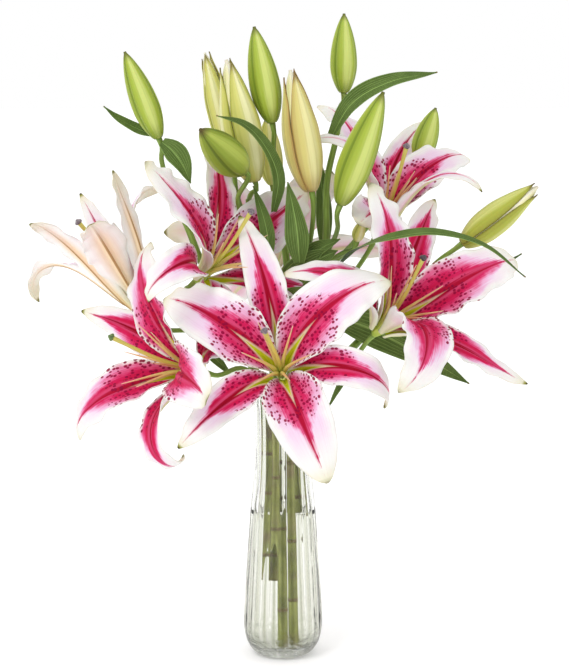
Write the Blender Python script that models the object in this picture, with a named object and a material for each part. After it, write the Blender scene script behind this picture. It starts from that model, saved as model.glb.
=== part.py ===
"""Oriental lilies in a fluted glass vase: seven open flowers, twelve buds and their leaves on six stems.

Lengths in the tables are millimetres. +Z is up, the origin is under the middle of the vase's foot,
and the front of the bouquet faces -Y.
"""

import math

import bmesh
import bpy
from mathutils import Matrix, Vector

MM = 0.001
UP = Vector((0, 0, 1))
GAP = 0.35

# Vase: a tall fluted tumbler, narrow at the neck, with a heavy rounded base.
VASE_HEIGHT = 229
FLOOR_THICKNESS = 8
FLUTES = 24
FLUTE_DEPTH = 0.8
FLUTES_FROM_ROW = 5
VASE_OUTSIDE = [
    (0, 0), (19, 0), (26, 3.5), (31.5, 12), (34, 27), (33.2, 50), (30.8, 88),
    (27.6, 132), (24.8, 162), (24.3, 195), (25.2, VASE_HEIGHT - 1),
]
VASE_INSIDE = [
    (22.4, VASE_HEIGHT - 1), (21.3, 195), (21.6, 162), (24.4, 132), (27.6, 88),
    (29.9, 50), (30.2, 27), (26, 12), (17, FLOOR_THICKNESS), (0, FLOOR_THICKNESS),
]
WATER_LEVEL = 128

STEM_RADIUS = 4
PEDICEL_RADIUS = 2.1
STEM_MOUTH_RING = 14.5
FLOOR = FLOOR_THICKNESS + 2 * GAP

PETAL_WIDTH = 53
SEPAL_WIDTH = 35
BLADE_THICKNESS = 1.2
RECEPTACLE_DEPTH = 5
WHORLS = {
    # kind: (width, share of it at the claw, start radius, start height, tip roundness)
    "petal": (PETAL_WIDTH, 0.16, 5.8, 4.0, 0.62),
    "sepal": (SEPAL_WIDTH, 0.26, 8.6, 0.5, 0.75),
}

# Each flower: where its receptacle is, which way it faces, and its tepals as
# (name, turn about the axis from the top, length, lean away from the axis from claw to tip, sideways sway).
FLOWERS = {
    "front_lily": {
        "base": (-1, -48, 254), "facing": (-0.09, -0.88, 0.47), "breadth": 1.06,
        "tepals": [
            ("petal_left", 306, 128, (28, 62, 71, 143), 15),
            ("petal_right", 36, 136, (18, 66, 62, 144), -35),
            ("petal_low", 156, 133, (17, 60, 73, 112), 0),
            ("sepal_up", 353, 136, (30, 70, 80, 90), 23),
            ("sepal_low_left", 231, 116, (22, 50, 116, 108), 8),
            ("sepal_low_right", 89, 130, (29, 46, 80, 226), -34),
        ],
    },
    "left_lily": {
        "base": (-69, -20, 252), "facing": (-0.85, -0.45, 0.29),
        "tepals": [
            ("petal_low", 209, 131, (21, 24, 28, 138), 3),
            ("petal_up", 336, 126, (20, 58, 42, 133), 2),
            ("petal_near", 88, 133, (16, 60, 118, 74), -20),
            ("sepal_far", 290, 125, (40, 72, 46, 60), 20),
            ("sepal_low", 152, 131, (30, 42, 60, 270), -8),
            ("sepal_right", 50, 70, (43, 80, 108, 160), 0),
        ],
    },
    "upper_lily": {
        "base": (-70, -12, 331), "facing": (0.62, -0.5, 0.6),
        "tepals": [
            ("petal_left", 311, 132, (5, 75, 62, 86), -8),
            ("petal_near", 201, 49, (57, 110, 150, 190), 0),
            ("petal_right", 74, 122, (22, 52, 58, 86), 3),
            ("sepal_up", 25, 134, (24, 66, 84, 114), 0),
            ("sepal_curled", 272, 121, (29, 54, 62, 228), 24),
            ("sepal_low", 132, 106, (43, 46, 60, 96), 14),
        ],
    },
    "right_lily": {
        "base": (80, -10, 285), "facing": (0.53, -0.54, 0.66),
        "tepals": [
            ("petal_right", 96, 141, (28, 29, 8, 128), 7),
            ("petal_up", 349, 130, (20, 26, 50, 86), 0),
            ("petal_near", 205, 145, (17, 16, 84, 180), -22),
            ("sepal_low", 150, 133, (22, 58, 95, 70), 1),
            ("sepal_left", 305, 122, (16, 62, 100, 150), 1),
            ("sepal_up", 36, 138, (26, 54, 76, 100), -20),
        ],
    },
    "back_right_lily": {
        "base": (82, 58, 360), "facing": (0.35, -0.3, 0.85), "breadth": 0.84,
        "tepals": [
            ("sepal_up", 43, 129, (40, 65, 62, 63), -32),
            ("petal_right", 85, 125, (2, 28, 62, 120), -9),
            ("sepal_right", 160, 122, (2, 5, 20, 128), -1),
            ("petal_left", 352, 132, (22, 55, 40, 127), -14),
            ("sepal_left", 302, 132, (12, 33, 25, 153), -3),
            ("petal_near", 250, 92, (27, 56, 76, 112), 0),
        ],
    },
    "back_left_lily": {
        "base": (-121, 25, 297), "facing": (-0.5, 0.35, 0.75), "breadth": 0.76,
        "tepals": [
            ("sepal_left", 100, 134, (26, 10, 25, 102), 30),
            ("petal_near", 50, 125, (19, 57, 69, 107), -7),
            ("sepal_up", 358, 123, (38, 22, 14, 51), -34),
            ("sepal_back", 240, 142, (14, 20, 22, 14), -1),
            ("petal_curled", 296, 145, (30, 12, 2, 132), 14),
            ("petal_low", 165, 145, (24, 20, 2, 192), -18),
        ],
    },
}

# The flower at the back, seen only past the others.
FLOWERS["back_lily"] = {
    "base": (-10, 78, 316), "facing": (0.05, 0.8, 0.6),
    "tepals": [
        ("petal_left", 328, 116, (18, 50, 74, 112), 0),
        ("petal_right", 88, 118, (18, 50, 70, 110), 0),
        ("petal_back", 208, 122, (18, 46, 66, 108), 0),
        ("sepal_up", 28, 118, (26, 58, 80, 118), 0),
        ("sepal_right", 148, 120, (26, 58, 80, 120), 0),
        ("sepal_left", 268, 120, (26, 58, 80, 120), 0),
    ],
}
FUSED = ("back_right_lily", "back_left_lily", "back_lily")

# Pistil tips, as (out along the axis, towards the flower's top, towards its side).
PISTILS = {
    "front_lily": (66, 18, 9), "left_lily": (92, 11, 0), "upper_lily": (86, 13, 3), "right_lily": (84, 18, -2),
    "back_right_lily": (86, 8, 2), "back_left_lily": (94, 6, -20), "back_lily": (60, 0, 0),
}
FILAMENT_LENGTH = 62
FILAMENT_SPREAD = 27
GATHERED_SPREAD = 11

# A bud's outline: (share of its length, share of its half width).
BUD_SHAPE = [
    (0, 0.34), (0.04, 0.6), (0.14, 0.84), (0.34, 1), (0.55, 0.95), (0.76, 0.73), (0.92, 0.4), (1, 0.14),
]

# Buds, as (tip, base, width).
BUDS = {
    "bud_left": ((-131, -12, 520), (-104, -5, 448), 23),
    "bud_pale": ((-66, 28, 517), (-44, 24, 432), 22),
    "bud_opening": ((-47, -6, 513), (-24, 4, 411), 33),
    "bud_middle": ((-24, 3, 540), (-9, 5, 460), 26),
    "bud_nodding": ((-67, -62, 460), (-33, -18, 422), 31),
    "bud_cream": ((6, -14, 505), (24, -8, 404), 31),
    "bud_hidden": ((-14, 50, 461), (-9, 46, 403), 22),
    "bud_top": ((52, 50, 549), (52, 47, 482), 23),
    "bud_near": ((82, -44, 489), (48, -24, 395), 29),
    "bud_behind": ((135, 112, 464), (120, 106, 417), 22),
    "bud_right": ((215, 5, 406), (153, 18, 356), 27),
    "bud_small": ((67, -6, 379), (62, 2, 360), 11),
}

# Main stems: the foot, where each leaves the mouth (degrees, from +X towards +Y), its course above it,
# and its branches, each from a point on the stem to what it carries. Two stand on the vase's floor.
STEMS = {
    "stem_left": ((-9, -2, 66), 180, [(-24, 4, 248), (-52, 20, 296), (-72, 22, 345), (-82, 16, 372),
                                    (-96, 8, 405)], [
        ([(-96, 8, 405), (-102, 0, 430)], "bud_left"),
        ([(-21, 2, 243), (-36, -4, 252)], "left_lily"),
        ([(-58, 21, 310), (-80, 14, 318)], "upper_lily"),
        ([(-40, 12, 276), (-74, 20, 280)], "back_left_lily"),
    ]),
    "stem_upper": ((-6, 6, 114), 120, [(-9, 18, 262), (-20, 24, 320), (-28, 22, 372), (-29, 12, 394)], [
        ([(-29, 12, 394), (-26, 6, 401)], "bud_opening"),
        ([(-27, 22, 362), (-38, 2, 396)], "bud_nodding"),
        ([(-26, 22, 356), (-40, 30, 400)], "bud_pale"),
    ]),
    "stem_middle": ((5, 6, 118), 60, [(7, 18, 262), (5, 34, 320), (-2, 42, 376), (-7, 26, 418)], [
        ([(-7, 26, 418), (-8, 11, 440)], "bud_middle"),
        ([(5, 32, 308), (21, 10, 350)], "bud_cream"),
        ([(-2, 42, 366), (-8, 44, 386)], "bud_hidden"),
        ([(6, 22, 280), (-6, 44, 294)], "back_lily"),
    ]),
    "stem_tall": ((14, 1, 121), 0, [(22, 8, 262), (32, 26, 310), (37, 38, 358), (38, 46, 406),
                                 (46, 48, 444)], [
        ([(46, 48, 444), (51, 47, 466)], "bud_top"),
        ([(36, 35, 342), (46, -6, 372)], "bud_near"),
        ([(26, 14, 282), (50, 48, 310)], "back_right_lily"),
        ([(34, 31, 326), (76, 92, 362), (108, 104, 396)], "bud_behind"),
        ([(36, 34, 336), (54, 12, 350)], "bud_small"),
    ]),
    "stem_right": ((9, -4, FLOOR), -60, [(24, -10, 244), (48, 2, 258), (78, 24, 284), (112, 34, 318)], [
        ([(112, 34, 318), (136, 26, 342)], "bud_right"),
        ([(40, -4, 253), (60, -1, 260)], "right_lily"),
    ]),
    "stem_front": ((0, -7, FLOOR), -120, [(-5, -16, 236)], [
        ([(-5, -16, 236), (-2, -24, 242)], "front_lily"),
    ]),
}

# Leaves: course of the midrib from base to tip, width, and the direction its upper face looks.
LEAVES = {
    "leaf_top_right": ([(41, 29, 446), (58, 26, 474), (90, 8, 494), (128, -12, 503)], 22, (-0.5, -0.7, 0.5)),
    "leaf_left": ([(-101, -11, 445), (-93, -13, 439), (-84, -15, 427), (-77, -16, 411)], 23,
                  (0.4, -0.85, 0.3)),
    "leaf_right_arch": ([(50, -10, 344), (62, -44, 360), (88, -80, 374), (122, -96, 380), (162, -96, 370),
                         (196, -90, 343)], 12, (0.1, -0.6, 0.8)),
    "leaf_low_right": ([(36, 15, 291), (60, 16, 288), (104, 8, 269), (158, -12, 240)], 35,
                       (-0.1, -0.9, 0.45)),
    "leaf_arching": ([(-8, -5, 386), (-4, -13, 414), (-14, -26, 442), (-32, -44, 463), (-54, -60, 471)], 15,
                     (0.45, -0.8, 0.4)),
    "leaf_middle": ([(14, -16, 344), (11, -15, 376), (4, -14, 412)], 23, (-0.2, -1, 0.1)),
    "leaf_inner": ([(-11, -19, 350), (-14, -12, 373), (-20, -9, 394), (-25, -8, 408)], 14, (0.2, -0.95, 0.1)),
    "leaf_folded": ([(14, 6, 332), (28, -4, 352), (48, -14, 364)], 22, (0.2, -0.8, 0.6)),
    "leaf_far_right": ([(124, 40, 316), (160, 40, 318), (206, 40, 344)], 13, (-0.2, -0.8, 0.6)),
}


def clear_scene():
    for obj in list(bpy.data.objects):
        bpy.data.objects.remove(obj, do_unlink=True)


def material(name, colour, roughness):
    found = bpy.data.materials.get(name) or bpy.data.materials.new(name)
    found.use_nodes = True
    shader = found.node_tree.nodes["Principled BSDF"]
    shader.inputs["Base Color"].default_value = (*colour, 1)
    shader.inputs["Roughness"].default_value = roughness
    return found


def add_object(name, bm, finish):
    """The bmesh, in millimetres, as an object in metres."""
    bmesh.ops.scale(bm, vec=(MM, MM, MM), verts=bm.verts)
    mesh = bpy.data.meshes.new(name)
    bm.to_mesh(mesh)
    bm.free()
    mesh.shade_smooth()
    obj = bpy.data.objects.new(name, mesh)
    bpy.context.scene.collection.objects.link(obj)
    mesh.materials.append(finish)
    return obj


def boolean(obj, other, operation, own_overlaps=False):
    """Cut or join with a helper object, which is kept out of the result."""
    other.hide_render = True
    other.display_type = "WIRE"
    step = obj.modifiers.new("Boolean", "BOOLEAN")
    step.operation = operation
    step.solver = "EXACT"
    step.use_self = own_overlaps
    step.object = other


def cubic(values, s):
    """Bezier blend of four values, s from 0 to 1."""
    a, b, c, d = values
    r = 1 - s
    return r**3 * a + 3 * s * r * r * b + 3 * s * s * r * c + s**3 * d


def smooth_path(points, spacing):
    """Points along a smooth course through the given ones; straight runs stay straight."""
    points = [Vector(p) for p in points]
    runs = [(b - a) for a, b in zip(points, points[1:])]
    headings = [runs[0].normalized()]
    headings += [(a.normalized() + b.normalized()).normalized() for a, b in zip(runs, runs[1:])]
    headings.append(runs[-1].normalized())
    path = [points[0]]
    for i, run in enumerate(runs):
        size = run.length
        straight = min(run.normalized().dot(headings[i]), run.normalized().dot(headings[i + 1])) > 0.9999
        count = 1 if straight else max(1, round(size / spacing))
        for step in range(1, count + 1):
            t = step / count
            path.append(
                points[i] * (2 * t**3 - 3 * t**2 + 1) + points[i + 1] * (3 * t**2 - 2 * t**3)
                + headings[i] * size * (t**3 - 2 * t**2 + t) + headings[i + 1] * size * (t**3 - t**2)
            )
    return path


def add_tube(bm, path, radii, sides):
    """A closed tube along a path, added to the bmesh."""
    rings = len(path)
    made = bmesh.ops.create_grid(bm, x_segments=sides, y_segments=rings - 1, size=1)["verts"]
    heading = (path[1] - path[0]).normalized()
    across = heading.orthogonal().normalized()
    frames = []
    for i in range(rings):
        ahead = path[min(i + 1, rings - 1)] - path[max(i - 1, 0)]
        across = (across - ahead * across.dot(ahead) / ahead.length_squared).normalized()
        frames.append((across, ahead.normalized().cross(across)))
    for vert in made:
        ring = round((vert.co.y + 1) / 2 * (rings - 1))
        turn = (vert.co.x + 1) * math.pi
        a, b = frames[ring]
        vert.co = path[ring] + (a * math.cos(turn) + b * math.sin(turn)) * radii[ring]
    bmesh.ops.remove_doubles(bm, verts=made, dist=1e-3)
    made = [v for v in made if v.is_valid]
    edges = [e for e in {e for v in made for e in v.link_edges} if e.is_boundary]
    bmesh.ops.holes_fill(bm, edges=edges, sides=sides)


def turned(name, profile, steps, finish, relief=None):
    """A turned solid; relief(column, row, radius) may change the radius round it."""
    bm = bmesh.new()
    bmesh.ops.create_grid(bm, x_segments=steps, y_segments=len(profile) - 1, size=1)
    for vert in bm.verts:
        column = round((vert.co.x + 1) / 2 * steps)
        row = round((vert.co.y + 1) / 2 * (len(profile) - 1))
        radius, z = profile[row]
        if relief:
            radius = relief(column, row, radius)
        turn = math.tau * column / steps
        vert.co = Vector((radius * math.cos(turn), radius * math.sin(turn), z))
    bmesh.ops.remove_doubles(bm, verts=bm.verts, dist=1e-3)
    bmesh.ops.recalc_face_normals(bm, faces=bm.faces)
    return add_object(name, bm, finish)


def build_vase(finish):
    def flutes(column, row, radius):
        fluted = FLUTES_FROM_ROW <= row < len(VASE_OUTSIDE)
        return radius - FLUTE_DEPTH * (column % 2) if fluted else radius

    profile = [*VASE_OUTSIDE, (24.6, VASE_HEIGHT), (23, VASE_HEIGHT), *VASE_INSIDE]
    turned("vase", profile, 2 * FLUTES, finish, flutes)


def build_water(finish, stem_paths):
    """Fills the vase up to the water level, round the stems."""
    def inside(z):
        for (r1, z1), (r0, z0) in zip(VASE_INSIDE, VASE_INSIDE[1:]):
            if z0 <= z <= z1:
                return r0 + (r1 - r0) * (z - z0) / (z1 - z0)
        return VASE_INSIDE[-2][0]

    heights = [FLOOR_THICKNESS + GAP, 12, 27, 50, 88, WATER_LEVEL]
    profile = [(0, heights[0])] + [(inside(z) - 2 * GAP, z) for z in heights] + [(0, WATER_LEVEL)]
    water = turned("water", profile, 32, finish)
    for name, path in stem_paths.items():
        bm = bmesh.new()
        start, end = path[0], path[0].lerp(path[1], 0.75)
        start = start - (end - start).normalized()
        add_tube(bm, [start, end], [STEM_RADIUS + GAP] * 2, 8)
        bmesh.ops.recalc_face_normals(bm, faces=bm.faces)
        boolean(water, add_object(f"{name}_hole", bm, finish), "DIFFERENCE")


def stem_course(foot, mouth_turn, above):
    """From its foot through the vase's mouth: straight inside, then on its own course."""
    turn = math.radians(mouth_turn)
    foot = Vector(foot)
    mouth = Vector((STEM_MOUTH_RING * math.cos(turn), STEM_MOUTH_RING * math.sin(turn), VASE_HEIGHT - 6))
    return smooth_path([foot, foot.lerp(mouth, 0.9), mouth, *above], 19)


def landing(target):
    """Where a branch arrives: the last two points of its course."""
    if target in BUDS:
        tip, base, _ = BUDS[target]
        heading = (Vector(tip) - Vector(base)).normalized()
        return [Vector(base) - heading * 8, Vector(base) - heading * GAP]
    flower = FLOWERS[target]
    axis = Vector(flower["facing"]).normalized()
    base = Vector(flower["base"])
    return [base - axis * 16, base - axis * (RECEPTACLE_DEPTH + GAP)]


def build_stems(finish):
    """Each stem with its branches as one body. Returns the courses of the main stems."""
    courses = {}
    for name, (foot, mouth_turn, above, branches) in STEMS.items():
        course = courses[name] = stem_course(foot, mouth_turn, above)
        main = bmesh.new()
        last = max(4, len(course) - 1)
        thinned = [STEM_RADIUS * (1 - 0.35 * max(0, i - 3) / (last - 3)) for i in range(len(course))]
        add_tube(main, course, thinned, 8)
        bmesh.ops.recalc_face_normals(main, faces=main.faces)
        stem = add_object(name, main, finish)
        side = bmesh.new()
        for points, target in branches:
            path = smooth_path([*points, *landing(target)], 17)
            add_tube(side, path, [PEDICEL_RADIUS] * len(path), 5)
        bmesh.ops.recalc_face_normals(side, faces=side.faces)
        boolean(stem, add_object(f"{name}_branches", side, finish), "UNION", True)
    return courses


def facing_frame(facing, turn):
    """A flower's axis, and the outward direction at a turn clockwise from its top."""
    axis = Vector(facing).normalized()
    side = UP.cross(axis).normalized()
    top = axis.cross(side)
    angle = math.radians(turn)
    return axis, top * math.cos(angle) + side * math.sin(angle)


class Tepal:
    """The mid-surface of one petal or sepal."""

    STEPS = 48

    def __init__(self, flower, name, turn, length, lean, sway):
        self.kind = name.split("_")[0]
        self.width, self.claw, radius, height, self.blunt = WHORLS[self.kind]
        self.width *= flower.get("breadth", 1)
        self.length, self.lean, self.sway = length, lean, math.radians(sway)
        self.axis, self.out = facing_frame(flower["facing"], turn)
        self.across = self.axis.cross(self.out)
        point = Vector(flower["base"]) + self.out * radius + self.axis * height
        self.midrib = [point.copy()]
        for i in range(self.STEPS):
            along, _, _ = self.directions((i + 0.5) / self.STEPS)
            point += along * (length / self.STEPS)
            self.midrib.append(point.copy())

    def directions(self, s):
        """Unit vectors along the midrib, across the blade and out of its upper face."""
        lean = math.radians(cubic(self.lean, s))
        sway = self.sway * s**1.5
        ahead = self.out * math.sin(lean) + self.axis * math.cos(lean)
        upper = self.axis * math.sin(lean) - self.out * math.cos(lean)
        along = ahead * math.cos(sway) + self.across * math.sin(sway)
        across = self.across * math.cos(sway) - ahead * math.sin(sway)
        return along, across, upper

    def half_width(self, s):
        swell = self.claw + (1 - self.claw) * math.sin(min(s / 0.46, 1) * math.pi / 2) ** 1.33
        tip = max(1 - s**3.4, 0) ** self.blunt
        return max(self.width / 2 * swell * tip, 0.9)

    def point(self, s, v):
        """s runs from claw to tip, v from -1 to 1 across."""
        step = min(s * self.STEPS, self.STEPS - 1e-6)
        low = self.midrib[int(step)]
        middle = low.lerp(self.midrib[int(step) + 1], step - int(step))
        _, across, upper = self.directions(s)
        roll = cubic((1.5, 0.9, -0.2, -0.5), s)
        if not v or not roll:
            return middle + across * self.half_width(s) * v
        bend = roll * v
        half = self.half_width(s) / roll
        return middle + across * half * math.sin(bend) + upper * half * (1 - math.cos(bend))


def blade_object(name, surface, rows, columns, finish):
    """A grid laid on a surface function of (s, v), thickened to a closed blade."""
    bm = bmesh.new()
    bmesh.ops.create_grid(bm, x_segments=columns, y_segments=rows, size=1)
    for vert in bm.verts:
        vert.co = surface((vert.co.y + 1) / 2, vert.co.x)
    obj = add_object(name, bm, finish)
    wall = obj.modifiers.new("Solidify", "SOLIDIFY")
    wall.thickness = BLADE_THICKNESS * MM
    wall.offset = 0
    return obj


def build_heart(name, flower, finish):
    """Receptacle, pistil and six filaments; their anthers are gone."""
    axis, top = facing_frame(flower["facing"], 0)
    side = axis.cross(top)
    base = Vector(flower["base"])
    bm = bmesh.new()
    add_tube(bm, [base - axis * RECEPTACLE_DEPTH, base, base + axis * 5], [3, 3.6, 2.6], 8)
    bmesh.ops.recalc_face_normals(bm, faces=bm.faces)
    heart = add_object(f"{name}_heart", bm, finish)
    out, up, aside = PISTILS[name]
    bm = bmesh.new()
    pistil = smooth_path([base + axis * 2, base + axis * out * 0.45 + top * up * 0.2,
                          base + axis * out + top * up + side * aside], 22)
    add_tube(bm, pistil, [2] + [1.3] * (len(pistil) - 2) + [2.4], 6)
    for i in range(6):
        _, away = facing_frame(flower["facing"], 60 * i + 30)
        spread = (GATHERED_SPREAD if name in FUSED else FILAMENT_SPREAD) + 3 * (i % 2)
        filament = smooth_path([base + axis * 3 + away * 1.2, base + axis * 24 + away * spread * 0.22,
                                base + axis * FILAMENT_LENGTH + away * spread], 24)
        add_tube(bm, filament, [1] * len(filament), 4)
    bmesh.ops.recalc_face_normals(bm, faces=bm.faces)
    boolean(heart, add_object(f"{name}_stamens", bm, finish), "UNION", True)
    return heart


def build_flowers(petal_finish, heart_finish):
    for name, flower in FLOWERS.items():
        blades = []
        for tepal_name, *shape in flower["tepals"]:
            tepal = Tepal(flower, tepal_name, *shape)
            blades.append(blade_object(f"{name}_{tepal_name}", tepal.point, 7, 4, petal_finish))
        if name in FUSED:
            fuse(name, flower, blades, petal_finish)
        else:
            build_heart(name, flower, heart_finish)


def fuse(name, flower, blades, finish):
    """One body of a back flower: tepals, pistil and filaments on a swollen receptacle."""
    axis, top = facing_frame(flower["facing"], 0)
    base = Vector(flower["base"])
    bm = bmesh.new()
    swollen = [base + axis * rise for rise in (-RECEPTACLE_DEPTH, -2, 3, 8)]
    add_tube(bm, swollen, [3, 8, 10, 8], 10)
    bmesh.ops.recalc_face_normals(bm, faces=bm.faces)
    body = add_object(name, bm, finish)
    for blade in blades:
        boolean(body, blade, "UNION", True)
    heart = build_heart(name, flower, finish)
    boolean(body, heart, "UNION")


def build_buds(finish):
    for name, (tip, base, width) in BUDS.items():
        tip, base = Vector(tip), Vector(base)
        bm = bmesh.new()
        add_tube(bm, [base.lerp(tip, s) for s, _ in BUD_SHAPE], [width / 2 * r for _, r in BUD_SHAPE], 9)
        bmesh.ops.recalc_face_normals(bm, faces=bm.faces)
        add_object(name, bm, finish)


def build_leaves(finish):
    for name, (course, width, upper) in LEAVES.items():
        path = smooth_path(course, 6)
        upper = Vector(upper).normalized()
        last = len(path) - 1

        def surface(s, v, path=path, upper=upper, width=width, last=last):
            step = min(s * last, last - 1e-6)
            low = int(step)
            middle = path[low].lerp(path[low + 1], step - low)
            along = (path[min(low + 2, last)] - path[max(low - 1, 0)]).normalized()
            across = along.cross(upper).normalized()
            facing = across.cross(along)
            swell = 0.35 + 0.65 * math.sin(min(s / 0.4, 1) * math.pi / 2)
            half = max(width / 2 * swell * (1 - s**2.2), 0.8)
            return middle + across * half * v + facing * half * 0.28 * v * v

        blade_object(name, surface, 8, 2, finish)


def main():
    clear_scene()
    glass = material("glass", (0.86, 0.93, 0.9), 0.05)
    water = material("water", (0.8, 0.88, 0.86), 0.02)
    stem = material("stem", (0.23, 0.36, 0.12), 0.5)
    leaf = material("leaf", (0.1, 0.25, 0.07), 0.45)
    petal = material("petal", (0.86, 0.3, 0.46), 0.5)
    heart = material("flower_heart", (0.72, 0.76, 0.36), 0.45)
    bud = material("bud", (0.5, 0.62, 0.24), 0.45)
    build_vase(glass)
    build_water(water, build_stems(stem))
    build_flowers(petal, heart)
    build_buds(bud)
    build_leaves(leaf)


main()
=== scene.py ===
"""Oriental lilies in a fluted glass vase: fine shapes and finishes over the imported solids.

Lengths in the tables are millimetres, in the solids' own frame: +Z up, front -Y, origin under the foot.
"""

import math

import bmesh
import bpy
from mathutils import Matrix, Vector


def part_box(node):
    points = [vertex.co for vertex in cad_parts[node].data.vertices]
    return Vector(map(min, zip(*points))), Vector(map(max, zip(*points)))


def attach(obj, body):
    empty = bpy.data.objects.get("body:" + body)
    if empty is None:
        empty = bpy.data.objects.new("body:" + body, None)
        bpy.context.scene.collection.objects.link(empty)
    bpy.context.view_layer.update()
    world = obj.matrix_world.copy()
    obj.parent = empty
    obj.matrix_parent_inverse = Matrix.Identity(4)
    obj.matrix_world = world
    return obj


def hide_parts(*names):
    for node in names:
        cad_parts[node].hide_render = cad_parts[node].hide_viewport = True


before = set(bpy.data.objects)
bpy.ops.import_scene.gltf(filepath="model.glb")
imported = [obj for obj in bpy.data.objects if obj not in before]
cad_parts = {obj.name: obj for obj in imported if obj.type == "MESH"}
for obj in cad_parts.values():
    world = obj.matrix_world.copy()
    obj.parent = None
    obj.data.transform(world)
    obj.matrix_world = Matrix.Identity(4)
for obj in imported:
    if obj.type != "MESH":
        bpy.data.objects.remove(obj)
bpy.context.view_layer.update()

MM = 0.001
UP = Vector((0, 0, 1))
NEAR = 1e-4

VASE_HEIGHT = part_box("vase")[1].z / MM
WATER_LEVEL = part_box("water")[1].z / MM
FLOOR_THICKNESS = 8
FLUTES = 24
FLUTE_DEPTH = 1.1
STEM_RADIUS = 4
STEM_MOUTH_RING = 14.5
STEM_STRAIGHT = 0.9  # share of the way from the foot to the mouth that a stem runs straight
STEM_SIDES = 24
JOINT_SWELL = 0.13
COLLAR_REACH = 1.8
PEDICEL_RADIUS = 2.1
RECEPTACLE_DEPTH = 5
FOOT = FLOOR_THICKNESS + 0.7
TEPAL_GRID = (56, 28)
TEPAL_WALL = 0.7
LEAF_GRID = (60, 16)
LEAF_WALL = 0.5
BUD_SHOULDER = 0.36  # share of a bud's length where it is widest
CAMERA_DISTANCE = 2.0  # metres from the point it looks at
CAMERA_AIM = (0.0013, 0.279)  # metres across and up
CAMERA_TILT = math.radians(10)

VASE_OUTSIDE = [
    (19, 0), (22.5, 1), (26, 3.4), (29, 7), (31.5, 12), (33.3, 19), (34, 27), (33.2, 50), (30.8, 88),
    (27.6, 132), (24.8, 162), (24.3, 195), (25.2, VASE_HEIGHT - 1),
]
VASE_INSIDE = [
    (22.4, VASE_HEIGHT - 1), (21.3, 195), (21.6, 162), (24.4, 132), (27.6, 88),
    (29.9, 50), (30.2, 27), (26, 12), (17, FLOOR_THICKNESS), (0, FLOOR_THICKNESS),
]

# kind: (width, share of it at the claw, start radius, start height, tip roundness)
WHORLS = {
    "petal": (53, 0.16, 5.8, 4.0, 0.62),
    "sepal": (35, 0.26, 8.6, 0.5, 0.75),
}
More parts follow.
